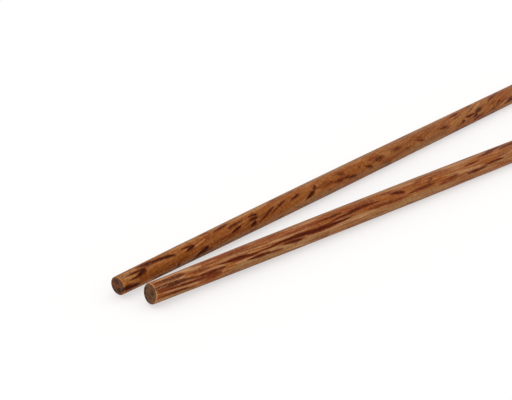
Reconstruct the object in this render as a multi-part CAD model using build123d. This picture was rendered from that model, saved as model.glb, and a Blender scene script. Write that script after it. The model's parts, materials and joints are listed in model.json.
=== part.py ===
from build123d import *
import os

# A pair of round chopsticks turned from coconut palm wood, lying side by side on a table.
# Sizes are in millimetres and degrees. +X runs from the eating tips towards the handle ends,
# midway between the headings of the two sticks, +Z is up, and the origin is the middle of the
# pair's footprint, on the table.

# Sizes that both sticks share
TAPER_LENGTH = 125.0  # from the sawn tip to where the handle turns parallel
HANDLE_LENGTH = 115.0  # the parallel stretch that lies in the hand
TIP_EDGE_RADIUS = 0.35  # edge of the tip, broken with sandpaper
HANDLE_EDGE_RADIUS = 0.8  # rounder edge at the handle's flat end

# The front stick, which is the thicker one
FRONT_TIP_DIAMETER = 5.5
FRONT_HANDLE_DIAMETER = 7.0
FRONT_TIP_SLANT = 7.5  # lean of the saw cut, with the upper side of the stick the shorter

# The rear stick, a little slimmer and sawn square
REAR_TIP_DIAMETER = 5.05
REAR_HANDLE_DIAMETER = 6.6

# How the two sticks lie beside each other
SPREAD_ANGLE = 8.0  # between the two axes, opening towards the handles
TIP_GAP = 4.1  # clear space between the tips, measured across the pair
REAR_TIP_LEAD = 2.6  # how far the rear tip reaches past the front tip


def taper_radius(x, tip_radius, handle_radius):
    """Radius at a distance from the tip: a parabola that meets the handle with no corner."""
    return handle_radius - (handle_radius - tip_radius) * (1 - x / TAPER_LENGTH) ** 2


def taper_curve(start_x, end_x, tip_radius, handle_radius):
    """The stretch of the taper between two distances from the tip."""
    start_radius = taper_radius(start_x, tip_radius, handle_radius)
    end_radius = taper_radius(end_x, tip_radius, handle_radius)
    slope = 2 * (handle_radius - tip_radius) / TAPER_LENGTH * (1 - start_x / TAPER_LENGTH)
    middle_x = (start_x + end_x) / 2
    middle = (middle_x, start_radius + slope * (middle_x - start_x))
    return Bezier((start_x, start_radius), middle, (end_x, end_radius))


def half_section(tip_radius, handle_radius):
    """Upper half of a stick's long section, with waste left in front of the tip for the saw."""
    waste_x = -2 * tip_radius
    tip_end_x = 2 * tip_radius
    waste_radius = taper_radius(waste_x, tip_radius, handle_radius)
    stick_end_x = TAPER_LENGTH + HANDLE_LENGTH
    outline = [
        # The saw cut trims only the short first stretch of the taper
        taper_curve(waste_x, tip_end_x, tip_radius, handle_radius),
        taper_curve(tip_end_x, TAPER_LENGTH, tip_radius, handle_radius),
        Line((TAPER_LENGTH, handle_radius), (stick_end_x, handle_radius)),
        Line((stick_end_x, handle_radius), (stick_end_x, 0)),
        Line((stick_end_x, 0), (waste_x, 0)),
        Line((waste_x, 0), (waste_x, waste_radius)),
    ]
    return make_face(outline)


def chopstick(tip_diameter, handle_diameter, tip_slant=0.0):
    """One stick along +X, with the middle of its sawn tip at the origin."""
    section = half_section(tip_diameter / 2, handle_diameter / 2)
    blank = revolve(section, Axis.X)
    saw_cut = Plane((0, 0, 0), z_dir=Vector(1, 0, 0).rotate(Axis.Y, tip_slant))
    stick = split(blank, bisect_by=saw_cut, keep=Keep.TOP)

    flat_ends = stick.faces().filter_by(GeomType.PLANE).sort_by(Axis.X)
    stick = fillet(flat_ends.first.edges(), TIP_EDGE_RADIUS)
    flat_ends = stick.faces().filter_by(GeomType.PLANE).sort_by(Axis.X)
    return fillet(flat_ends.last.edges(), HANDLE_EDGE_RADIUS)


def lay_down(stick, tip_x, tip_y, heading, handle_diameter):
    """Lay a stick on the table on its parallel handle, which leaves the tip slightly raised."""
    return Pos(tip_x, tip_y, handle_diameter / 2) * Rot(0, 0, heading) * stick


tip_spacing = TIP_GAP + (FRONT_TIP_DIAMETER + REAR_TIP_DIAMETER) / 2

front_chopstick = lay_down(
    chopstick(FRONT_TIP_DIAMETER, FRONT_HANDLE_DIAMETER, FRONT_TIP_SLANT),
    tip_x=REAR_TIP_LEAD,
    tip_y=0,
    heading=-SPREAD_ANGLE / 2,
    handle_diameter=FRONT_HANDLE_DIAMETER,
)
rear_chopstick = lay_down(
    chopstick(REAR_TIP_DIAMETER, REAR_HANDLE_DIAMETER),
    tip_x=0,
    tip_y=tip_spacing,
    heading=SPREAD_ANGLE / 2,
    handle_diameter=REAR_HANDLE_DIAMETER,
)

# Bring the middle of the footprint to the origin
footprint = Compound([front_chopstick, rear_chopstick]).bounding_box()
to_origin = Pos(-footprint.center().X, -footprint.center().Y, -footprint.min.Z)

os.makedirs("parts", exist_ok=True)
export_step(to_origin * front_chopstick, "parts/front_chopstick.step")
export_step(to_origin * rear_chopstick, "parts/rear_chopstick.step")
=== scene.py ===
"""Dresses a pair of palm-wood chopsticks: turned meshes, wood figure, finish, stage and camera."""

import json
import math
from collections import namedtuple

import bpy
import numpy as np
from bpy.props import FloatProperty, FloatVectorProperty, PointerProperty
from mathutils import Matrix, Vector


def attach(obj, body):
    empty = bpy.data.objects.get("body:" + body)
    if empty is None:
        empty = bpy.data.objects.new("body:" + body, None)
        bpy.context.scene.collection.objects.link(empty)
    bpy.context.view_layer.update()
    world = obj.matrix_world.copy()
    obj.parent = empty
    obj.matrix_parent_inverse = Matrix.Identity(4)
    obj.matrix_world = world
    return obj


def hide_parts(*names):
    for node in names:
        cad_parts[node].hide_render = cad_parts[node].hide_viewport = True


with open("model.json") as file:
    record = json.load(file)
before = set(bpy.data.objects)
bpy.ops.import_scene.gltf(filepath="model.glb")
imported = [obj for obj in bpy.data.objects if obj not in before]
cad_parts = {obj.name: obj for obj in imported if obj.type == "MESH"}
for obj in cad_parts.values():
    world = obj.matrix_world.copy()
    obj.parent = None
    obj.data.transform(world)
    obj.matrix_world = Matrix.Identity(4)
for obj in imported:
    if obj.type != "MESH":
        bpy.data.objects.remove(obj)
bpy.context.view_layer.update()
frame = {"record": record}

bl_info = {
    "name": "Palm-wood chopsticks",
    "version": (1, 0, 0),
    "blender": (4, 5, 0),
    "location": "3D View > Sidebar > Chopsticks",
    "description": "Turns a pair of chopsticks, gives them their wood and lays them on a pale table",
    "category": "Object",
}

MM = 0.001
WHITE = (1.0, 1.0, 1.0, 1.0)
MOUNTS = {mount["name"]: mount for mount in frame["record"]["mounts"]}

# Fineness of the turned meshes
RING_STEP = 0.5  # millimetres between the rings of the skin
POINTS_AROUND = 144
FACE_RINGS = 12  # over each sawn end
EDGE_RINGS = 6  # round the edge of each end

# Marks of the saw and the sandpaper, and the pale and dark sides of the rims
SAW_FADE = 12.0  # millimetres from the tip over which the lean of its saw cut dies out
SANDING_WAVES = ((17, 2), (29, 3), (41, 2), (11, 4))  # length in millimetres, and lobes round the stick
PALEST_RIM_DEG = 30  # place round the stick where its rims are palest
PALE_RIM_CONTRAST = 0.8  # how sharply that side differs from the far one
END_GRAIN_REACH = 0.8  # how much stronger the dark end grain is on the rims of the far side

# A streak of the wood's figure on a stick's skin. It starts in a point and swells to a blunt end.
# Places are millimetres from the tip and degrees round the stick, 0 in front and 90 on top. Bend is
# how far the middle bows up, and depth is how strongly the streak shows, 0 to 1.
Streak = namedtuple("Streak", "from_mm from_deg to_mm to_deg width_mm bend_mm depth")
SWELL_TO = 0.62  # share of its run at which a streak is broadest
SWELL_POWER = 0.75  # 1 swells along straight lines, and less bulges
EDGE_FADE = 0.1  # least millimetres that a streak fades over, to each side of its outline
EDGE_FADE_SHARE = 0.6  # share of its half width that is added to them
PAST_ENDS = 1.5  # millimetres past its ends within which a streak can show
STAIN_WIDTH = 1.8  # width of the rust stain round a bundle, in bundle widths
STAIN_DEPTH = 0.8  # depth of that stain, in bundle depths

# A cut bundle on a sawn end: distance from the axis, place round it, diameter and depth
EndSpot = namedtuple("EndSpot", "out_mm deg diameter_mm depth")

# Cut bundles scattered over a handle's end: one to so many square millimetres, then the least and
# most of each size
SPOT_EVERY_MM2 = 1.6
SPOT_DIAMETERS_MM = (0.45, 1.0)
SPOT_DEPTHS = (0.45, 0.95)

# Streaks scattered over skin that has none listed: one to so many square millimetres, then the
# least and most of each size
Scatter = namedtuple("Scatter", "every_mm2 width_mm run_mm depth")
SCATTERS = {
    "bundle": Scatter(15.0, (0.4, 1.0), (3.0, 9.0), (0.4, 1.0)),
    "rust": Scatter(60.0, (0.6, 1.4), (8.0, 24.0), (0.4, 0.8)),
    "pale": Scatter(60.0, (0.4, 1.2), (8.0, 24.0), (0.3, 0.7)),
    "straw_and_sheen": Scatter(80.0, (0.8, 2.0), (12.0, 30.0), (0.3, 0.6)),
    "amber": Scatter(80.0, (0.8, 2.0), (8.0, 20.0), (0.3, 0.6)),
    "ladder": Scatter(150.0, (0.8, 1.4), (6.0, 14.0), (0.4, 0.8)),
    "stitch": Scatter(150.0, (0.5, 0.8), (10.0, 24.0), (0.5, 0.9)),
}
GIRTH = 20.0  # millimetres round a stick, about
RUN_IN = 4.0  # millimetres before the tip in which a scattered streak may start
STRAY = 1.0  # spread of their slopes about the grain's, in degrees for each millimetre
BACKWARD = 0.4  # share of them whose point is towards the handle
MOST_BEND = 0.1  # millimetres

# A stick's blank of wood: its listed streaks by the layer that they paint, the cut bundles on its
# tip, how far from the tip the lists go, how many degrees its grain winds round it in a millimetre,
# how many times longer and fewer its scattered streaks are, and the seed that scatters them
Blank = namedtuple("Blank", "figure tip_spots listed_to_mm twist stretch seed")
LISTED_DEG = (-30, 108)  # part of the way round that the lists cover

# The lists run from the tip towards the handle
FRONT_BUNDLES = (
    Streak(-0.5, 23, 14.5, 8, 0.6, 0.0, 0.75),
    Streak(-0.5, -5, 10.5, -11, 0.65, 0.0, 0.75),
    Streak(10.5, 36, 3.2, 42, 1.0, 0.0, 0.45),
    Streak(8.5, -18, 13.0, -25, 0.8, 0.0, 0.45),
    Streak(10.5, 27, 22.8, 22, 0.7, 0.0, 0.8),
    Streak(12.0, 16, 21.0, 3, 1.5, 0.0, 0.5),
    Streak(15.5, 48, 23.0, 48, 0.35, 0.0, 0.5),
    Streak(19.5, -22, 27.5, -26, 0.7, 0.0, 0.45),
    Streak(20.5, 43, 31.0, 35, 0.9, 0.0, 1.0),
    Streak(26.0, 33, 34.5, 29, 0.6, 0.0, 0.8),
    Streak(29.2, 13, 38.0, 8, 0.75, 0.0, 0.95),
    Streak(31.0, 29, 43.0, 33, 0.45, 0.0, 0.8),
    Streak(31.5, -28, 38.5, -29, 0.6, 0.0, 0.4),
    Streak(35.0, 9, 41.0, 1, 0.6, 0.0, 0.65),
    Streak(38.0, 35, 55.0, 28, 1.05, 0.15, 1.0),
    Streak(41.6, 22, 49.9, 12, 0.85, 0.0, 0.85),
    Streak(46.0, 8, 47.6, 3, 0.6, 0.0, 0.5),
    Streak(48.5, -16, 59.0, -22, 1.2, 0.0, 0.4),
    Streak(69.0, 23, 50.0, 29, 1.1, -0.1, 1.0),
    Streak(56.5, 61, 66.8, 63, 0.75, 0.0, 0.8),
    Streak(57.8, -5, 60.2, -16, 0.6, 0.0, 0.45),
    Streak(59.5, 37, 77.0, 54, 0.85, 0.0, 0.85),
    Streak(60.0, 2, 73.0, -4, 0.5, 0.0, 0.4),
    Streak(61.5, 27, 71.0, 28, 0.5, 0.0, 0.6),
    Streak(82.0, 46, 69.5, 51, 0.8, 0.1, 0.85),
    Streak(95.5, 15, 76.0, 28, 1.1, 0.0, 0.5),
    Streak(76.0, -10, 84.5, -18, 0.8, 0.0, 0.4),
    Streak(85.8, 63, 92.6, 43, 1.0, 0.0, 0.85),
    Streak(92.5, 27, 106.0, 30, 0.9, 0.0, 0.65),
    Streak(102.2, 34, 106.0, 60, 1.1, 0.0, 0.5),
    Streak(107.0, 7, 111.0, 16, 0.8, 0.0, 0.5),
    Streak(111.5, 17, 117.0, 30, 0.8, 0.0, 0.6),
)
FRONT_LADDERS = (
    Streak(6.5, 42, -0.5, 46, 1.3, 0.0, 0.6),
    Streak(0.8, 72, 10.0, 67, 1.25, 0.1, 0.75),
    Streak(12.5, 31, 2.0, 42, 1.4, 0.1, 0.95),
    Streak(10.5, 60, 17.0, 50, 1.3, 0.0, 0.35),
    Streak(13.0, 69, 36.0, 60, 1.4, 0.0, 0.45),
)
FRONT_STITCHES = (
    Streak(12.0, 60, 37.0, 55, 0.7, 0.0, 0.9),
    Streak(18.0, 67, 44.0, 64, 0.6, 0.0, 0.7),
    Streak(32.0, 52, 56.0, 48, 0.6, 0.0, 0.9),
)
FRONT_RUST = (
    Streak(-0.5, 76, 10.5, 70, 1.7, 0.0, 0.9),
    Streak(13.0, 33, -0.5, 37, 1.7, 0.0, 0.9),
    Streak(10.5, 12, 20.6, 5, 2.0, 0.0, 0.9),
    Streak(11.0, 55, 18.5, 47, 1.1, 0.0, 0.9),
    Streak(13.0, 96, 33.0, 82, 1.5, 0.0, 0.9),
    Streak(26.0, 61, 63.0, 59, 1.0, 0.0, 0.8),
    Streak(30.0, 86, 44.5, 90, 1.3, 0.0, 0.65),
    Streak(33.0, 40, 41.0, 41, 0.7, 0.0, 0.6),
    Streak(35.5, 10, 42.5, 1, 0.8, 0.0, 0.8),
    Streak(44.0, 20, 50.5, 12, 1.1, 0.0, 0.7),
    Streak(48.0, 92, 68.0, 84, 1.2, 0.0, 0.35),
    Streak(65.5, 74, 80.0, 64, 1.5, 0.0, 0.75),
    Streak(82.5, 82, 91.5, 54, 1.8, 0.0, 0.75),
    Streak(93.0, 44, 108.0, 38, 1.2, 0.0, 0.5),
    Streak(96.0, 52, 101.5, 70, 1.8, 0.0, 0.5),
    Streak(96.5, 56, 102.5, 82, 1.2, 0.0, 0.6),
    Streak(97.0, 88, 114.0, 82, 1.6, 0.0, 0.4),
    Streak(101.5, 36, 106.0, 64, 1.8, 0.0, 0.65),
    Streak(104.0, 70, 116.0, 62, 1.6, 0.0, 0.5),
    Streak(108.0, 8, 117.0, 26, 2.4, 0.0, 0.6),
)
FRONT_PALE = (
    Streak(-0.5, 57, 10.0, 55, 0.75, 0.0, 1.0),
    Streak(-0.5, 14, 15.0, -1, 0.7, 0.0, 1.0),
    Streak(-0.5, 94, 15.0, 88, 1.2, 0.0, 0.8),
    Streak(9.0, 80, 16.0, 76, 1.2, 0.0, 0.6),
    Streak(12.5, 36, 22.0, 33, 0.5, 0.0, 0.75),
    Streak(18.0, 55, 36.0, 53, 0.35, 0.0, 0.5),
    Streak(21.0, 49, 30.0, 48, 0.4, 0.0, 0.6),
    Streak(24.0, 18, 32.0, 17, 0.6, 0.0, 0.7),
    Streak(30.0, 20, 41.0, 21, 0.4, 0.0, 0.6),
    Streak(33.0, 50, 53.0, 49, 0.4, 0.0, 0.55),
    Streak(44.0, 88, 58.0, 84, 1.3, 0.0, 0.6),
    Streak(52.0, 8, 76.0, 6, 1.0, 0.0, 0.6),
    Streak(82.0, 84, 98.0, 74, 1.2, 0.0, 0.4),
)
# Duller straw-coloured wood, and painted sheen: the streaks that run along the top and along the lower
# edge paint a grey reflection where the skin turns away. The others are duller wood.
FRONT_STRAW_AND_SHEEN = (
    Streak(17.0, -27, -0.5, -24, 1.7, 0.0, 0.6),
    Streak(14.0, 102, 60.0, 99, 1.3, 0.0, 0.5),
    Streak(68.0, -26, 19.0, -20, 1.9, 0.0, 0.65),
    Streak(66.0, -7, 23.0, 2, 2.6, 0.0, 0.7),
    Streak(54.0, 98, 118.0, 94, 1.8, 0.0, 0.6),
    Streak(56.0, -10, 118.0, -18, 2.4, 0.0, 0.6),
    Streak(66.0, 18, 80.0, 12, 1.6, 0.0, 0.5),
    Streak(76.0, 6, 118.0, 2, 1.6, 0.0, 0.5),
)
FRONT_AMBER = (
    Streak(20.5, 25, 27.5, 19, 1.2, 0.0, 0.9),
    Streak(30.5, 41, 40.5, 40, 2.0, 0.0, 1.0),
    Streak(38.0, 43, 60.0, 40, 1.8, 0.0, 0.45),
    Streak(57.0, 44, 63.0, 38, 0.9, 0.0, 0.8),
    Streak(70.0, 33, 82.0, 27, 1.2, 0.0, 0.5),
    Streak(81.0, 56, 88.0, 52, 1.5, 0.0, 0.7),
    Streak(90.0, 40, 116.0, 48, 2.6, 0.0, 0.6),
)
FRONT_TIP_SPOTS = (
    EndSpot(0.97, 25, 1.3, 0.7),
    EndSpot(0.93, -90, 1.2, 0.5),
    EndSpot(0.9, 200, 1.3, 0.45),
    EndSpot(0.3, -60, 1.1, 0.35),
    EndSpot(1.75, 48, 0.9, 0.5),
    EndSpot(2.2, 156, 1.1, 0.85),
    EndSpot(2.2, 190, 1.1, 0.85),
    EndSpot(2.25, 225, 1.0, 0.8),
    EndSpot(2.4, 252, 0.9, 0.7),
    EndSpot(1.9, -35, 0.8, 0.4),
)

REAR_BUNDLES_AND_SHADE = (
    Streak(6.0, -13, -1.0, 2, 1.25, 0.0, 1.0),
    Streak(1.6, 63, 7.6, 60, 0.55, 0.0, 0.85),
    Streak(2.0, 31, 6.6, 34, 0.52, 0.0, 0.8),
    Streak(4.6, 31, 8.7, 58, 1.4, 0.0, 0.9),
    Streak(6.2, 34, 5.2, 14, 0.6, 0.0, 0.45),
    Streak(15.0, 65, 7.2, 87, 1.4, 0.0, 0.75),
    Streak(8.6, 83, 18.8, 56, 0.82, 0.0, 1.0),
    # The next two streaks, along the lower edge, are painted shade: dark streaks for the shaded
    # underside
    Streak(9.8, -34, 14.5, -38, 1.0, 0.0, 0.8),
    Streak(13.0, -36, 18.2, -40, 0.9, 0.0, 0.75),
    Streak(16.5, 62, 19.8, 47, 0.75, 0.0, 0.65),
    Streak(18.6, -26, 20.2, -9, 0.75, 0.0, 0.95),
    Streak(21.4, 64, 25.5, 58, 0.55, 0.0, 0.85),
    Streak(22.5, -38, 28.5, -11, 0.6, 0.0, 0.75),
    Streak(22.8, 38, 26.8, 56, 0.98, 0.0, 1.0),
    Streak(25.6, -12, 31.2, 11, 1.25, 0.0, 1.0),
    Streak(27.0, -18, 33.0, -6, 0.9, 0.0, 0.5),
    Streak(30.0, 94, 34.2, 95, 0.8, 0.0, 0.6),
    Streak(34.9, 69, 41.4, 85, 0.8, 0.0, 0.75),
    Streak(37.0, -24, 41.0, -30, 0.5, 0.0, 0.5),
    Streak(39.9, 14, 45.2, 36, 0.8, 0.18, 0.9),
    Streak(47.2, 60, 40.0, 50, 0.72, 0.2, 0.85),
    Streak(47.6, 36, 52.4, 40, 0.85, 0.1, 0.85),
    Streak(48.2, 5, 51.3, 19, 1.15, 0.1, 1.0),
    Streak(48.6, 60, 52.8, 58, 0.85, 0.15, 0.8),
    Streak(50.6, -2, 60.3, 56, 0.6, 0.0, 0.75),
    Streak(51.2, 40, 52.6, 62, 0.7, 0.0, 0.6),
    Streak(57.2, 16, 66.2, 57, 0.6, 0.3, 0.7),
    Streak(60.0, 103, 63.2, 96, 0.6, 0.0, 0.5),
    Streak(66.5, 38, 72.0, 56, 0.7, 0.0, 0.8),
    Streak(67.5, -3, 71.2, -16, 0.5, 0.0, 0.45),
    Streak(68.0, 84, 71.6, 96, 0.5, 0.0, 0.5),
    Streak(73.5, 8, 78.4, 33, 1.0, 0.0, 1.0),
    Streak(77.2, 26, 80.0, 60, 1.0, 0.0, 0.75),
    Streak(82.2, 74, 84.6, 52, 0.8, 0.0, 0.4),
    Streak(83.5, 3, 87.2, -7, 0.6, 0.0, 0.45),
    Streak(87.5, 22, 93.0, 23, 1.05, 0.0, 0.6),
    Streak(90.2, 62, 93.8, 43, 1.0, 0.0, 0.55),
    Streak(93.0, 23, 99.4, 7, 1.1, 0.0, 0.65),
    Streak(99.5, 34, 103.0, 43, 0.9, 0.0, 0.4),
    Streak(104.2, 33, 108.2, 12, 1.15, 0.0, 0.65),
    Streak(108.5, 28, 114.4, 40, 1.3, 0.0, 0.55),
    Streak(109.0, 66, 111.5, 48, 0.8, 0.0, 0.35),
    Streak(120.0, 43, 124.8, 42, 1.0, 0.0, 0.6),
    Streak(126.5, 14, 130.0, 20, 0.6, 0.0, 0.5),
    Streak(133.5, 44, 139.0, 14, 0.9, 0.0, 0.6),
    Streak(149.0, 34, 154.2, 28, 0.9, 0.0, 0.65),
)
REAR_LADDERS = (
    Streak(112.5, 2, 119.0, -9, 1.0, 0.0, 0.5),
)
REAR_STITCHES = (
    Streak(30.0, 42, 41.0, 24, 1.4, 0.0, 0.4),
)
REAR_RUST = (
    Streak(5.0, 6, 29.0, 12, 1.3, 0.0, 0.3),
    Streak(14.0, 72, 6.0, 92, 1.8, 0.0, 0.7),
    Streak(31.0, 18, 41.0, 14, 1.2, 0.0, 0.6),
    Streak(45.0, 45, 48.5, 24, 1.6, 0.0, 0.5),
    Streak(52.0, 46, 57.0, 36, 1.4, 0.0, 0.5),
    Streak(58.0, 75, 70.0, 88, 0.9, 0.0, 0.3),
    Streak(78.0, 36, 88.0, 37, 1.5, 0.0, 0.8),
    Streak(87.0, 26, 93.5, 22, 1.8, 0.0, 0.5),
    Streak(88.0, 76, 92.0, 62, 1.2, 0.0, 0.4),
    Streak(90.5, 80, 94.5, 42, 1.5, 0.0, 0.6),
    Streak(92.5, 28, 100.0, 4, 1.9, 0.0, 0.6),
    Streak(103.5, 37, 109.0, 8, 1.9, 0.0, 0.5),
    Streak(107.0, 54, 116.0, 28, 2.6, 0.0, 0.85),
    Streak(112.0, 8, 120.0, -6, 1.8, 0.0, 0.4),
    Streak(114.0, 78, 146.0, 70, 2.0, 0.0, 0.3),
    Streak(115.0, 66, 127.0, 44, 1.8, 0.0, 0.45),
    Streak(119.0, 44, 126.0, 40, 1.9, 0.0, 0.6),
    Streak(124.0, 22, 134.0, 10, 1.8, 0.0, 0.35),
    Streak(126.0, 48, 158.0, 54, 2.2, 0.0, 0.3),
    Streak(133.0, 78, 139.5, 16, 2.2, 0.0, 0.55),
    Streak(138.0, 4, 158.0, -4, 2.4, 0.0, 0.35),
    Streak(147.5, 40, 156.0, 24, 2.2, 0.0, 0.65),
    Streak(150.0, 76, 158.0, 66, 1.8, 0.0, 0.45),
)
REAR_PALE = (
    Streak(-0.5, 88, 9.0, 82, 0.9, 0.0, 0.5),
    Streak(-0.5, 30, 6.0, 18, 1.4, 0.0, 0.45),
    Streak(-0.5, 55, 5.0, 50, 1.2, 0.0, 0.4),
    Streak(1.2, 53, 2.6, 53, 0.5, 0.0, 0.9),
    Streak(2.4, 48, 6.2, 47, 0.8, 0.0, 0.7),
    Streak(14.0, 88, 32.0, 84, 1.2, 0.0, 0.35),
    Streak(22.6, 51, 24.2, 50, 0.4, 0.0, 0.8),
    Streak(23.6, 34, 31.2, 57, 0.4, 0.0, 0.85),
    Streak(40.8, 45, 47.5, 47, 0.4, 0.0, 0.5),
    Streak(42.0, 84, 60.0, 92, 1.4, 0.0, 0.6),
    Streak(94.0, 84, 108.0, 70, 1.2, 0.0, 0.4),
)
# Duller straw-coloured wood, and painted sheen: the streaks that run along the top and along the lower
# edge paint a grey reflection where the skin turns away. The others are duller wood.
REAR_STRAW_AND_SHEEN = (
    Streak(9.0, 74, -0.5, 72, 2.0, 0.0, 0.55),
    Streak(4.0, -20, 62.0, -18, 1.8, 0.0, 0.6),
    Streak(8.0, 102, 60.0, 99, 1.4, 0.0, 0.6),
    Streak(54.0, -8, 94.0, -14, 2.0, 0.0, 0.6),
    Streak(54.0, 98, 118.0, 94, 1.6, 0.0, 0.6),
    Streak(88.0, 0, 116.0, -8, 1.8, 0.0, 0.5),
    Streak(112.0, -14, 156.0, -10, 2.2, 0.0, 0.6),
    Streak(112.0, 92, 156.0, 84, 1.8, 0.0, 0.5),
    Streak(112.0, 62, 158.0, 56, 2.6, 0.0, 0.3),
    Streak(112.0, 24, 158.0, 20, 2.6, 0.0, 0.35),
)
REAR_AMBER = (
    Streak(5.0, 26, 28.0, 36, 2.6, 0.0, 0.5),
    Streak(29.0, 32, 49.0, 40, 2.0, 0.0, 0.45),
    Streak(44.5, 42, 49.0, 32, 1.2, 0.0, 0.7),
    Streak(51.5, 54, 57.0, 50, 1.0, 0.0, 0.7),
    Streak(60.0, 24, 78.0, 36, 1.8, 0.0, 0.4),
    Streak(82.0, 44, 92.0, 44, 1.6, 0.0, 0.5),
    Streak(92.0, 38, 108.0, 52, 2.0, 0.0, 0.5),
    Streak(124.0, 34, 148.0, 44, 2.0, 0.0, 0.4),
)
REAR_TIP_SPOTS = (
    EndSpot(1.1, 102, 1.7, 0.7),
    EndSpot(1.1, -66, 1.5, 0.9),
    EndSpot(1.9, -20, 1.1, 0.85),
    EndSpot(1.8, 212, 0.8, 0.6),
    EndSpot(1.85, 234, 0.8, 0.65),
    EndSpot(1.9, 256, 0.8, 0.65),
    EndSpot(2.0, 40, 0.8, 0.45),
)

FRONT_BLANK = Blank(
    figure={
        "bundle": FRONT_BUNDLES,
        "ladder": FRONT_LADDERS,
        "stitch": FRONT_STITCHES,
        "rust": FRONT_RUST,
        "pale": FRONT_PALE,
        "straw_and_sheen": FRONT_STRAW_AND_SHEEN,
        "amber": FRONT_AMBER,
    },
    tip_spots=FRONT_TIP_SPOTS,
    listed_to_mm=116.0,
    twist=-0.3,
    stretch=1.6,
    seed=11,
)
REAR_BLANK = Blank(
    figure={
        "bundle": REAR_BUNDLES_AND_SHADE,
        "ladder": REAR_LADDERS,
        "stitch": REAR_STITCHES,
        "rust": REAR_RUST,
        "pale": REAR_PALE,
        "straw_and_sheen": REAR_STRAW_AND_SHEEN,
        "amber": REAR_AMBER,
    },
    tip_spots=REAR_TIP_SPOTS,
    listed_to_mm=156.0,
    twist=2.5,
    stretch=1.0,
    seed=31,
)


def linear(hex_colour):
    """An sRGB hex colour as linear red, green and blue."""
    channels = [int(hex_colour[i:i + 2], 16) / 255 for i in (1, 3, 5)]
    return [c / 12.92 if c <= 0.04045 else ((c + 0.055) / 1.055) ** 2.4 for c in channels]


def colour(name, description, hex_colour):
    """A colour property with its default."""
    return FloatVectorProperty(
        name=name, description=description, subtype="COLOR", size=3, min=0, max=1,
        default=linear(hex_colour)
    )


def share(name, description, default):
    """A property from 0 to 1 with its default."""
    return FloatProperty(
        name=name, description=description, subtype="FACTOR", min=0, max=1, default=default
    )


def length(name, description, millimetres):
    """A length property with its default."""
    return FloatProperty(name=name, description=description, unit="LENGTH", default=millimetres * MM)


def angle(name, description, degrees):
    """An angle property with its default."""
    return FloatProperty(
        name=name, description=description, unit="ROTATION", subtype="ANGLE",
        default=math.radians(degrees)
    )


class ChopstickSizes(bpy.types.PropertyGroup):
    """Sizes of the two turned sticks"""

    taper_length: length("Taper length", "From the sawn tip to where the handle turns parallel", 125.0)
    tip_edge: length("Tip edge", "Radius of the edge round the tip", 0.35)
    handle_edge: length("Handle edge", "Radius of the edge round the handle's flat end", 0.8)
    front_tip: length("Front tip", "Diameter of the front stick's tip", 5.5)
    rear_tip: length("Rear tip", "Diameter of the rear stick's tip", 5.05)
    front_slant: angle("Front saw cut", "Lean of the front tip's saw cut", 7.5)
    sanding: length("Sanding", "How unevenly the skin was sanded", 0.03)


class FrontWood(bpy.types.PropertyGroup):
    """Colours of the front stick"""

    ground: colour("Ground", "Soft tissue between the fibre bundles", "#975526")
    pale: colour("Pale", "Lightest fibres", "#C19164")
    rust: colour("Rust", "Redder stretches", "#7B3616")
    # Straw is the colour of duller wood and of the painted sheen along the top and the lower edge
    straw_and_sheen: colour("Straw", "Duller stretches", "#A07B4E")
    amber: colour("Amber", "Stretches steeped in oil", "#94500E")
    bundle: colour("Bundle", "Hard dark fibre bundles", "#4E1702")
    dotted: colour("Dotted", "Bundles dotted with stiff cells", "#4C2914")
    end_grain: colour("End grain", "Sawn ends", "#67462D")
    cut: colour("Cut bundle", "Bundles cut across on the sawn ends", "#37281E")
    mottle: share("Mottle", "How blotchy the skin is", 0.25)
    fibre: share("Fibre", "How strongly single fibres show", 0.55)


class RearWood(bpy.types.PropertyGroup):
    """Colours of the rear stick"""

    ground: colour("Ground", "Soft tissue between the fibre bundles", "#965423")
    pale: colour("Pale", "Lightest fibres", "#BC844C")
    rust: colour("Rust", "Redder stretches", "#742F07")
    # Straw is the colour of duller wood and of the painted sheen along the top and the lower edge
    straw_and_sheen: colour("Straw", "Duller stretches", "#93704B")
    amber: colour("Amber", "Stretches steeped in oil", "#98561C")
    # Bundle also colours the two painted-shade streaks along the lower edge
    bundle: colour("Bundle", "Hard dark fibre bundles", "#3E1201")
    dotted: colour("Dotted", "Bundles dotted with stiff cells", "#4E301F")
    end_grain: colour("End grain", "Sawn ends", "#683F2B")
    cut: colour("Cut bundle", "Bundles cut across on the sawn ends", "#37251C")
    mottle: share("Mottle", "How blotchy the skin is", 0.38)
    fibre: share("Fibre", "How strongly single fibres show", 0.4)


class StageSettings(bpy.types.PropertyGroup):
    """Table, light and camera"""

    table: colour("Table", "Matte white table", "#F4F3F1")
    table_size: length("Table size", "Side of the square table", 4000.0)
    lift: share("Lift", "How far the table's own look is lifted to white", 0.5)
    fill: share("Fill", "Glow that whitens what the light leaves grey on the table", 0.07)
    ambient: FloatProperty(name="Ambient", description="Light from the white room", default=0.92)
    softbox_power: FloatProperty(
        name="Softbox", description="Power of the softbox overhead", unit="POWER", default=0.45
    )
    softbox_size: length("Softbox size", "Side of the square softbox", 800.0)
    softbox_height: length("Softbox height", "Height of the softbox above the table", 700.0)
    lens: FloatProperty(name="Lens", description="Focal length", unit="CAMERA", default=78.7)
    azimuth: angle("Azimuth", "Heading of the view; 0 looks along +Y", -46.11)
    elevation: angle("Elevation", "How far the camera looks down", 23.07)
    distance: length("Distance", "From the lens to the point on the table that it looks at", 340.7)
    aim: FloatVectorProperty(
        name="Aim", description="Point on the table that the camera looks at", subtype="XYZ",
        unit="LENGTH", size=3, default=(-51.48 * MM, 23.39 * MM, 0.0)
    )


class ChopstickSettings(bpy.types.PropertyGroup):
    """Everything about the pair that a user would change"""

    sizes: PointerProperty(type=ChopstickSizes)
    front_wood: PointerProperty(type=FrontWood)
    rear_wood: PointerProperty(type=RearWood)
    stage: PointerProperty(type=StageSettings)


def smooth(t):
    """Eased step from 0 to 1."""
    t = np.clip(t, 0, 1)
    return t * t * (3 - 2 * t)


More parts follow.
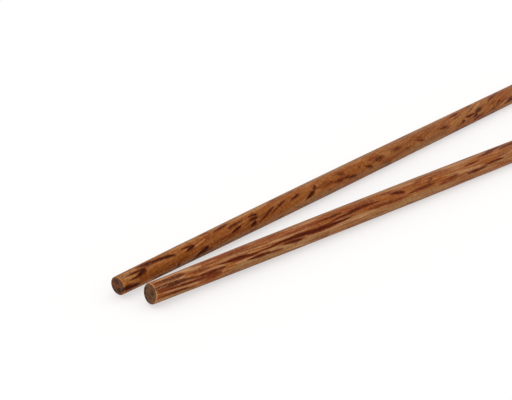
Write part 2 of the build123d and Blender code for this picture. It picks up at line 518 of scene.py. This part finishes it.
def long_section(tip_radius, handle_radius, stick_length, sizes):
    """Half section from the middle of the tip to the middle of the handle's end, in millimetres.

    Gives, for each of its points, distance along the axis, distance from the axis, and how much of
    the point is sawn end.
    """
    taper = sizes.taper_length / MM
    tip_edge = sizes.tip_edge / MM
    handle_edge = sizes.handle_edge / MM
    corner = np.radians(np.linspace(0, 90, EDGE_RINGS + 1))

    def radius(x):
        return handle_radius - (handle_radius - tip_radius) * np.clip(1 - x / taper, 0, None) ** 2

    tip_face = np.linspace(0, radius(tip_edge) - tip_edge, FACE_RINGS, endpoint=False)
    tip_round_x = tip_edge * (1 - np.cos(corner))
    tip_round_r = radius(tip_edge) - tip_edge * (1 - np.sin(corner))
    side_steps = round((stick_length - tip_edge - handle_edge) / RING_STEP)
    side_x = np.linspace(tip_edge, stick_length - handle_edge, side_steps + 1)[1:-1]
    end_round_x = stick_length - handle_edge * (1 - np.sin(corner))
    end_round_r = handle_radius - handle_edge * (1 - np.cos(corner))
    end_face = np.linspace(handle_radius - handle_edge, 0, FACE_RINGS + 1)[1:]

    along = np.concatenate([
        np.zeros(FACE_RINGS), tip_round_x, side_x, end_round_x, np.full(FACE_RINGS, stick_length)
    ])
    out = np.concatenate([tip_face, tip_round_r, radius(side_x), end_round_r, end_face])
    sawn = np.concatenate([
        np.ones(FACE_RINGS), smooth(1 - corner / corner[-1]), np.zeros(len(side_x)),
        smooth(corner / corner[-1]), np.ones(FACE_RINGS)
    ])
    return along, out, sawn


def turn_mesh(name, along, out, slant, unevenness, seed):
    """Revolves a half section about local X into a closed mesh.

    Gives the mesh and, for each of its points, distance from the tip, place round the stick in
    degrees, distance from the axis and the ring that it lies on.
    """
    rng = np.random.default_rng(seed)
    rings = np.arange(1, len(along) - 1)
    turn = np.linspace(-180, 180, POINTS_AROUND, endpoint=False)
    x = np.repeat(along[rings], POINTS_AROUND)
    r = np.repeat(out[rings], POINTS_AROUND)
    deg = np.tile(turn, len(rings))
    ring = np.repeat(rings, POINTS_AROUND)

    # Hand sanding leaves long shallow hollows, a few hundredths of a millimetre deep
    wave = np.zeros_like(x)
    for period_mm, lobes in SANDING_WAVES:
        wave += np.sin(2 * np.pi * (x / period_mm + rng.random()) + lobes * np.radians(deg))
    r = r - unevenness * (0.5 + 0.5 * wave / len(SANDING_WAVES))

    y = -np.cos(np.radians(deg)) * r
    z = np.sin(np.radians(deg)) * r
    lean = math.tan(slant) * (1 - smooth(x / SAW_FADE))
    points = np.column_stack([x + lean * z, y, z])
    points = np.vstack([points, [along[0], 0, 0], [along[-1], 0, 0]])

    last = (len(rings) - 1) * POINTS_AROUND
    tip_point = len(points) - 2
    end_point = len(points) - 1
    faces = []
    for j in range(POINTS_AROUND):
        k = (j + 1) % POINTS_AROUND
        faces.append((tip_point, k, j))
        for here in range(0, last, POINTS_AROUND):
            ahead = here + POINTS_AROUND
            faces.append((here + j, here + k, ahead + k, ahead + j))
        faces.append((last + j, last + k, end_point))
    mesh = bpy.data.meshes.new(name)
    mesh.from_pydata(points * MM, [], faces)
    mesh.shade_smooth()
    places = {
        "x": np.append(x, [along[0], along[-1]]),
        "deg": np.append(deg, [0, 0]),
        "r": np.append(r, [0, 0]),
        "ring": np.append(ring, [0, len(along) - 1]),
    }
    return mesh, places


def scattered(scatter, blank, stick_length, seed):
    """Streaks for the skin that the lists leave bare, scattered along the twisted grain."""
    rng = np.random.default_rng(seed)
    streaks = []
    skin_mm2 = stick_length * GIRTH
    for _ in range(int(skin_mm2 / scatter.every_mm2 / blank.stretch)):
        start = rng.uniform(-RUN_IN, stick_length)
        deg = rng.uniform(-180, 180)
        run = rng.uniform(*scatter.run_mm) * blank.stretch
        rise = run * (blank.twist + rng.normal(0, STRAY))
        width = rng.uniform(*scatter.width_mm)
        depth = rng.uniform(*scatter.depth)
        backward = rng.random() < BACKWARD
        if start + run / 2 < blank.listed_to_mm and LISTED_DEG[0] < deg < LISTED_DEG[1]:
            continue
        ends = [(start, deg - rise / 2), (start + run, deg + rise / 2)]
        if backward:
            ends.reverse()
        streaks.append(Streak(*ends[0], *ends[1], width, rng.uniform(-MOST_BEND, MOST_BEND), depth))
    return streaks


def paint(streaks, places, skin_radius, widen=1.0):
    """How strongly streaks cover each point, 0 to 1. A streak reaches as far down as to each side."""
    cover = np.zeros(len(places["x"]))
    for streak in streaks:
        low, high = sorted((streak.from_mm, streak.to_mm))
        near = np.flatnonzero((places["x"] > low - PAST_ENDS) & (places["x"] < high + PAST_ENDS))
        radius = skin_radius[near]
        run = streak.to_mm - streak.from_mm
        rise = np.radians(streak.to_deg - streak.from_deg) * radius
        size = np.hypot(run, rise)

        # How far along the streak a point lies, 0 to 1, and how far it is from the bowed middle line:
        # aside, below the skin and beyond the ends
        ahead = places["x"][near] - streak.from_mm
        up = np.radians((places["deg"][near] - streak.from_deg + 180) % 360 - 180) * radius
        t = (ahead * run + up * rise) / size ** 2
        bow = streak.bend_mm * 4 * t * (1 - t)
        aside = (up * run - ahead * rise) / size * np.sign(run) - bow
        below = radius - places["r"][near]
        beyond = np.maximum(np.maximum(t - 1, -t), 0) * size
        off = np.hypot(np.hypot(aside, below), beyond)

        # A point at the start, a blunt end, and half strength along the outline
        t = np.clip(t, 0, 1)
        point = np.clip(t / SWELL_TO, 0, 1) ** SWELL_POWER
        blunt = np.sqrt(1 - np.clip((t - SWELL_TO) / (1 - SWELL_TO), 0, 1) ** 2)
        half_width = point * blunt * streak.width_mm / 2 * widen
        fade = EDGE_FADE + EDGE_FADE_SHARE * half_width
        value = streak.depth * smooth(0.5 + 0.5 * (half_width - off) / fade)
        cover[near] = np.maximum(cover[near], value)
    return cover


def scattered_spots(end_radius, seed):
    """Cut bundles for a sawn end that has none listed."""
    rng = np.random.default_rng(seed)
    spots = []
    for _ in range(round(math.pi * end_radius ** 2 / SPOT_EVERY_MM2)):
        out = end_radius * math.sqrt(rng.random())
        deg = rng.uniform(-180, 180)
        diameter = rng.uniform(*SPOT_DIAMETERS_MM)
        spots.append(EndSpot(out, deg, diameter, rng.uniform(*SPOT_DEPTHS)))
    return spots


def paint_spots(spots, places, on_end):
    """How strongly the cut bundles of a sawn end cover each point.

    A spot is full out to half its radius, and has died out at one and a half times its radius.
    """
    reach = 1.5
    cover = np.zeros(len(places["x"]))
    turn = np.radians(places["deg"])
    for spot in spots:
        across = places["r"] * np.cos(turn) - spot.out_mm * math.cos(math.radians(spot.deg))
        up = places["r"] * np.sin(turn) - spot.out_mm * math.sin(math.radians(spot.deg))
        off = np.hypot(across, up) / (spot.diameter_mm / 2)
        cover = np.maximum(cover, np.where(on_end, spot.depth * smooth(reach - off), 0))
    return cover


def skin_layers(blank, places, skin_radius, stick_length):
    """How strongly each layer of the figure covers each point, from the lists and the scatter."""
    streaks = {}
    for number, (layer, scatter) in enumerate(SCATTERS.items(), start=1):
        filling = scattered(scatter, blank, stick_length, blank.seed + number)
        streaks[layer] = [*blank.figure[layer], *filling]
    layers = {layer: paint(found, places, skin_radius) for layer, found in streaks.items()}

    # The tissue close round a bundle is stained
    stain = STAIN_DEPTH * paint(streaks["bundle"], places, skin_radius, widen=STAIN_WIDTH)
    layers["rust"] = np.maximum(layers["rust"], stain)
    return layers


def end_layers(blank, places, sawn, handle_radius):
    """How strongly cut bundles, end grain and pale rims cover each point."""
    # Spots may reach halfway round the edge of their end
    face_ring = FACE_RINGS + EDGE_RINGS // 2
    on_tip = places["ring"] <= face_ring
    on_handle_end = places["ring"] >= len(sawn) - 1 - face_ring
    handle_spots = scattered_spots(handle_radius, blank.seed)
    spot = np.maximum(
        paint_spots(blank.tip_spots, places, on_tip), paint_spots(handle_spots, places, on_handle_end)
    )

    # Rims are paler on one side, and the dark end grain comes further round them on the other.
    # A rim is palest halfway round its edge, where it is half sawn end and half skin.
    pale_side = smooth(0.5 + PALE_RIM_CONTRAST * np.cos(np.radians(places["deg"] - PALEST_RIM_DEG)))
    end = sawn[places["ring"]]
    return {
        "spot": spot,
        "sawn": np.clip(end * (1 + END_GRAIN_REACH * (1 - pale_side)), 0, 1),
        "rim": 4 * end * (1 - end) * pale_side,
    }


def empty_tree(owner):
    """Clears the nodes of a material or a world, and gives their tree."""
    owner.use_nodes = True
    owner.node_tree.nodes.clear()
    return owner.node_tree


def add_node(tree, kind, inputs=None, output=0, **settings):
    """Adds a node, sets its settings, fills or links its inputs, and gives one of its outputs."""
    node = tree.nodes.new("ShaderNode" + kind)
    for name, value in settings.items():
        setattr(node, name, value)
    for socket, value in (inputs or {}).items():
        if isinstance(value, bpy.types.NodeSocket):
            tree.links.new(value, node.inputs[socket])
        else:
            node.inputs[socket].default_value = value
    return node.outputs[output] if node.outputs else None


def per_metre(along_mm, across_mm):
    """How often a pattern of that size repeats in a metre along the grain and both ways across it."""
    return 1 / (along_mm * MM), 1 / (across_mm * MM), 1 / (across_mm * MM)


def palm_wood(name, wood, twist):
    """Coconut palm wood, turned, sanded and rubbed with oil.

    Soft orange-brown tissue holds hard dark fibre bundles, which show as pointed streaks along the
    skin and as dots on the sawn ends. The oil deepens the colour, and sanding leaves a satin skin
    that hardly shines.
    """
    material = bpy.data.materials.new(name)
    tree = empty_tree(material)

    # Local X runs along the stick, and the grain winds slowly round it
    place = add_node(tree, "TexCoord", output="Object")
    x = add_node(tree, "SeparateXYZ", {0: place}, output="X")
    wound = add_node(tree, "Math", {0: x, 1: math.radians(twist) / MM}, operation="MULTIPLY")
    grain = add_node(tree, "VectorRotate", {"Vector": place, "Angle": wound}, rotation_type="X_AXIS")

    # Sizes of the figure along and across the grain, in millimetres. Palm fibres are a few hundredths
    # of a millimetre thick, and are drawn several times too coarse so that they show.
    figure_mm = {"band": (34.0, 2.2), "fibre": (9.0, 0.32), "dash": (1.6, 0.4), "mottle": (0.9, 0.8)}
    noise = {}
    for layer, size_mm in figure_mm.items():
        repeats = per_metre(*size_mm)
        stretched = add_node(tree, "VectorMath", {0: grain, 1: repeats}, operation="MULTIPLY")
        noise[layer] = add_node(tree, "TexNoise", {"Vector": stretched, "Scale": 1.0, "Detail": 2.0})

    # The figure that the mesh carries. The fibres fray the edges of its streaks and spots.
    fray = add_node(
        tree, "MapRange",
        {"Value": noise["dash"], "From Min": 0.3, "From Max": 0.7, "To Min": 0.7, "To Max": 1.3}
    )
    painted = {}
    for layer in (*SCATTERS, "spot", "sawn", "rim"):
        painted[layer] = add_node(tree, "Attribute", output="Fac", attribute_name=layer)
    for layer in (*SCATTERS, "spot"):
        painted[layer] = add_node(tree, "Math", {0: painted[layer], 1: fray}, operation="MULTIPLY")

    # Dark walls between the rows of pale stiff cells that dot some bundles
    cell_mm = (0.65, 0.45)
    rows = add_node(tree, "VectorMath", {0: grain, 1: per_metre(*cell_mm)}, operation="MULTIPLY")
    from_middle = add_node(
        tree, "TexVoronoi", {"Vector": rows, "Scale": 1.0, "Randomness": 0.5}, output="Distance"
    )
    walls = add_node(
        tree, "MapRange",
        {"Value": from_middle, "From Min": 0.25, "From Max": 0.55, "To Min": 0.0, "To Max": 1.0}
    )
    ladder = add_node(tree, "Math", {0: painted["ladder"], 1: walls}, operation="MULTIPLY")

    # Pale stiff cells in single file along some bundles, like stitches: each stroke rises and falls
    # once in its space
    stitch_mm = 0.85
    half_space = 0.5
    spaces = add_node(
        tree, "Math", {0: x, 1: 1 / (stitch_mm * MM), 2: noise["dash"]}, operation="MULTIPLY_ADD"
    )
    stroke = add_node(tree, "Math", {0: spaces, 1: half_space}, operation="PINGPONG")
    stitch = add_node(tree, "Math", {0: painted["stitch"], 1: stroke}, operation="MULTIPLY")

    # Dots of cut fibre on the sawn ends, and the bundles of the skin where they reach round the rim
    dot_mm = 1.0
    from_dot = add_node(
        tree, "TexVoronoi", {"Vector": grain, "Scale": 1 / (dot_mm * MM)}, output="Distance"
    )
    to_dot = add_node(tree, "Math", {0: 1.0, 1: from_dot}, operation="SUBTRACT")
    dots = add_node(tree, "Math", {0: to_dot, 1: painted["sawn"]}, operation="MULTIPLY")
    cut_bundle = add_node(
        tree, "Math", {0: painted["bundle"], 1: painted["sawn"]}, operation="MULTIPLY"
    )

    # Each layer lies over the last: what steers it, where it starts and where it is full, how much it
    # covers at most, and its colour
    pale_mottle = 0.7 * wood.mottle
    layers = (
        (noise["band"], 0.50, 0.72, 0.50, wood.pale),
        (noise["band"], 0.48, 0.28, 0.35, wood.rust),
        # Straw paints duller wood, and painted sheen along the top and the lower edge
        (painted["straw_and_sheen"], 0.05, 0.80, 0.85, wood.straw_and_sheen),
        (painted["amber"], 0.05, 0.80, 0.85, wood.amber),
        (painted["pale"], 0.05, 0.80, 0.90, wood.pale),
        (painted["rust"], 0.05, 0.80, 0.90, wood.rust),
        (noise["mottle"], 0.50, 0.34, wood.mottle, wood.rust),
        (noise["mottle"], 0.52, 0.68, pale_mottle, wood.pale),
        (painted["sawn"], 0.35, 0.90, 1.00, wood.end_grain),
        (noise["fibre"], 0.50, 0.28, wood.fibre, wood.rust),
        (noise["fibre"], 0.52, 0.74, wood.fibre, wood.pale),
        (stitch, 0.05, 0.40, 0.60, wood.pale),
        (painted["rim"], 0.15, 0.85, 0.70, wood.pale),
        (ladder, 0.05, 0.85, 0.95, wood.dotted),
        (painted["bundle"], 0.05, 0.95, 1.00, wood.bundle),
        (dots, 0.55, 0.85, 0.55, wood.cut),
        (cut_bundle, 0.20, 0.80, 0.95, wood.cut),
        (painted["spot"], 0.05, 0.95, 0.95, wood.cut),
    )
    skin = (*wood.ground, 1.0)
    for steer, start, full, most, layer_colour in layers:
        cover = add_node(
            tree, "MapRange",
            {"Value": steer, "From Min": start, "From Max": full, "To Min": 0.0, "To Max": most},
            interpolation_type="SMOOTHSTEP"
        )
        # A colour mix has its factor, its two colours and its result at these places
        skin = add_node(
            tree, "Mix", {0: cover, 6: skin, 7: (*layer_colour, 1.0)}, output=2, data_type="RGBA"
        )

    # Bundles stand proud of the softer tissue, and the fibres give the skin a fine tooth
    bundle_rise = 0.6
    tooth_mm = 0.05
    relief = add_node(
        tree, "Math", {0: painted["bundle"], 1: bundle_rise, 2: noise["fibre"]},
        operation="MULTIPLY_ADD"
    )
    bump = add_node(tree, "Bump", {"Height": relief, "Strength": 0.35, "Distance": tooth_mm * MM})
    satin = add_node(
        tree, "MapRange",
        {"Value": noise["fibre"], "From Min": 0.3, "From Max": 0.7, "To Min": 0.40, "To Max": 0.52}
    )

    # Oiled wood has an IOR of about 1.45. The pores break up most of its gloss, so the level is low,
    # and loose fibre ends give a faint warm sheen where the skin turns away.
    shader = add_node(
        tree, "BsdfPrincipled",
        {
            "Base Color": skin, "Roughness": satin, "Normal": bump, "IOR": 1.45,
            "Specular IOR Level": 0.05, "Sheen Weight": 0.08, "Sheen Roughness": 0.3,
            "Sheen Tint": (1.0, 0.88, 0.7, 1.0),
        }
    )
    add_node(tree, "OutputMaterial", {"Surface": shader})
    return material


def turn_chopstick(side, tip_diameter, slant, wood, blank):
    """Makes one stick in place of its CAD node, with local X along the stick from its tip."""
    sizes = bpy.context.scene.chopsticks.sizes
    handle = MOUNTS[f"{side}_handle"]
    handle_radius = handle["dims"]["r_mm"]
    stick_length = sizes.taper_length / MM + handle["dims"]["length_mm"] + sizes.handle_edge / MM
    tip_radius = tip_diameter / MM / 2
    unevenness = sizes.sanding / MM

    along, out, sawn = long_section(tip_radius, handle_radius, stick_length, sizes)
    mesh, places = turn_mesh(f"{side}_stick", along, out, slant, unevenness, blank.seed)

    # The skin's own radius where a point lies, which the sawn ends share with their rims
    edge_ring = FACE_RINGS + EDGE_RINGS
    ring = np.clip(places["ring"], edge_ring, len(along) - 1 - edge_ring)
    skin_radius = out[ring] - unevenness / 2
    layers = {
        **skin_layers(blank, places, skin_radius, stick_length),
        **end_layers(blank, places, sawn, handle_radius),
    }
    for layer, values in layers.items():
        attribute = mesh.attributes.new(layer, "FLOAT", "POINT")
        attribute.data.foreach_set("value", values.astype(np.float32))
    mesh.materials.append(palm_wood(f"Oiled coconut palm wood, {side}", wood, blank.twist))

    stick = bpy.data.objects.new(f"{side}_stick", mesh)
    bpy.context.collection.objects.link(stick)
    heading = Vector(handle["axis"])
    tip = Vector(MOUNTS[f"{side}_handle_end"]["pos_m"]) - heading * stick_length * MM
    turned = heading.to_track_quat("X", "Z").to_matrix().to_4x4()
    stick.matrix_world = Matrix.Translation(tip) @ turned
    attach(stick, "root")
    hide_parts(f"{side}_chopstick")


class TurnFrontChopstick(bpy.types.Operator):
    """Turn the front stick and give it its wood"""

    bl_idname = "chopsticks.turn_front"
    bl_label = "Front chopstick"

    def execute(self, context):
        settings = context.scene.chopsticks
        sizes = settings.sizes
        turn_chopstick(
            "front", sizes.front_tip, slant=sizes.front_slant, wood=settings.front_wood,
            blank=FRONT_BLANK
        )
        return {"FINISHED"}


class TurnRearChopstick(bpy.types.Operator):
    """Turn the rear stick, which is sawn square, and give it its wood"""

    bl_idname = "chopsticks.turn_rear"
    bl_label = "Rear chopstick"

    def execute(self, context):
        settings = context.scene.chopsticks
        turn_chopstick(
            "rear", settings.sizes.rear_tip, slant=0.0, wood=settings.rear_wood, blank=REAR_BLANK
        )
        return {"FINISHED"}


def seen_directly(tree):
    """1 where the camera looks, also in a reflection or through glass, and 0 for light alone."""
    seen = 0.0
    for ray in ("Is Camera Ray", "Is Glossy Ray", "Is Transmission Ray"):
        found = add_node(tree, "LightPath", output=ray)
        seen = add_node(tree, "Math", {0: found, 1: seen}, operation="MAXIMUM")
    return seen


def white_table(stage):
    """A white laminate top, pressed against a dull plate, so it scatters light and has no gloss.

    It fades into the white room and keeps the sticks' soft shadow.
    """
    material = bpy.data.materials.new("Matte white laminate")
    tree = empty_tree(material)
    under_glow = [channel * (1 - stage.lift) for channel in stage.table]
    lit = add_node(tree, "BsdfDiffuse", {"Color": (*stage.table, 1.0)})
    dimmed = add_node(tree, "BsdfDiffuse", {"Color": (*under_glow, 1.0)})
    glow = add_node(tree, "Emission", {"Color": WHITE, "Strength": stage.lift + stage.fill})
    shown = add_node(tree, "AddShader", {0: dimmed, 1: glow})
    surface = add_node(tree, "MixShader", {0: seen_directly(tree), 1: lit, 2: shown})
    add_node(tree, "OutputMaterial", {"Surface": surface})
    return material


def white_room(stage):
    """A plain white room, whose walls show white and light the table softly."""
    world = bpy.data.worlds.new("White room")
    tree = empty_tree(world)
    light = add_node(tree, "Background", {"Color": WHITE, "Strength": stage.ambient})
    shown = add_node(tree, "Background", {"Color": WHITE, "Strength": 1.0})
    surface = add_node(tree, "MixShader", {0: seen_directly(tree), 1: light, 2: shown})
    add_node(tree, "OutputWorld", {"Surface": surface})
    return world


def lay_table(stage):
    """A square table top at height 0."""
    half = stage.table_size / 2
    corners = [(-half, -half, 0), (half, -half, 0), (half, half, 0), (-half, half, 0)]
    mesh = bpy.data.meshes.new("table")
    mesh.from_pydata(corners, [], [(0, 1, 2, 3)])
    mesh.materials.append(white_table(stage))
    return bpy.data.objects.new("table", mesh)


def hang_softbox(stage):
    """A large soft lamp straight overhead."""
    lamp = bpy.data.lights.new("softbox", "AREA")
    lamp.energy = stage.softbox_power
    lamp.size = stage.softbox_size
    softbox = bpy.data.objects.new("softbox", lamp)
    softbox.location = (0, 0, stage.softbox_height)
    return softbox


def set_camera(stage):
    """A camera that looks at its aim along the view's azimuth and elevation."""
    near_clip_mm = 10.0
    data = bpy.data.cameras.new("camera")
    data.lens = stage.lens
    data.clip_start = near_clip_mm * MM
    camera = bpy.data.objects.new("camera", data)
    flat = math.cos(stage.elevation)
    forward = Vector((
        -math.sin(stage.azimuth) * flat, math.cos(stage.azimuth) * flat, -math.sin(stage.elevation)
    ))
    camera.location = Vector(stage.aim) - forward * stage.distance
    camera.rotation_euler = forward.to_track_quat("-Z", "Y").to_euler()
    return camera


class SetStage(bpy.types.Operator):
    """Set out the table, the light and the camera"""

    bl_idname = "chopsticks.set_stage"
    bl_label = "Table, light and camera"

    def execute(self, context):
        scene = context.scene
        stage = scene.chopsticks.stage
        table = lay_table(stage)
        camera = set_camera(stage)
        for thing in (table, hang_softbox(stage), camera):
            scene.collection.objects.link(thing)
        scene.camera = camera
        scene.world = white_room(stage)
        scene.view_settings.view_transform = "Standard"
        return {"FINISHED"}


class ChopsticksPanel(bpy.types.Panel):
    """Buttons and settings for the pair"""

    bl_idname = "VIEW3D_PT_chopsticks"
    bl_label = "Chopsticks"
    bl_space_type = "VIEW_3D"
    bl_region_type = "UI"
    bl_category = "Chopsticks"

    def draw(self, context):
        settings = context.scene.chopsticks
        for group, operator in (
            (settings.sizes, None),
            (settings.front_wood, TurnFrontChopstick),
            (settings.rear_wood, TurnRearChopstick),
            (settings.stage, SetStage),
        ):
            box = self.layout.box()
            for name in group.__annotations__:
                box.prop(group, name)
            if operator:
                box.operator(operator.bl_idname)


CLASSES = (
    ChopstickSizes, FrontWood, RearWood, StageSettings, ChopstickSettings,
    TurnFrontChopstick, TurnRearChopstick, SetStage, ChopsticksPanel,
)


def register():
    for cls in CLASSES:
        bpy.utils.register_class(cls)
    bpy.types.Scene.chopsticks = PointerProperty(type=ChopstickSettings)


def unregister():
    del bpy.types.Scene.chopsticks
    for cls in reversed(CLASSES):
        bpy.utils.unregister_class(cls)


def main():
    """Makes the pair and its stage."""
    register()
    bpy.ops.chopsticks.turn_front()
    bpy.ops.chopsticks.turn_rear()
    bpy.ops.chopsticks.set_stage()
    bpy.context.view_layer.update()


if __name__ == "__main__":
    main()
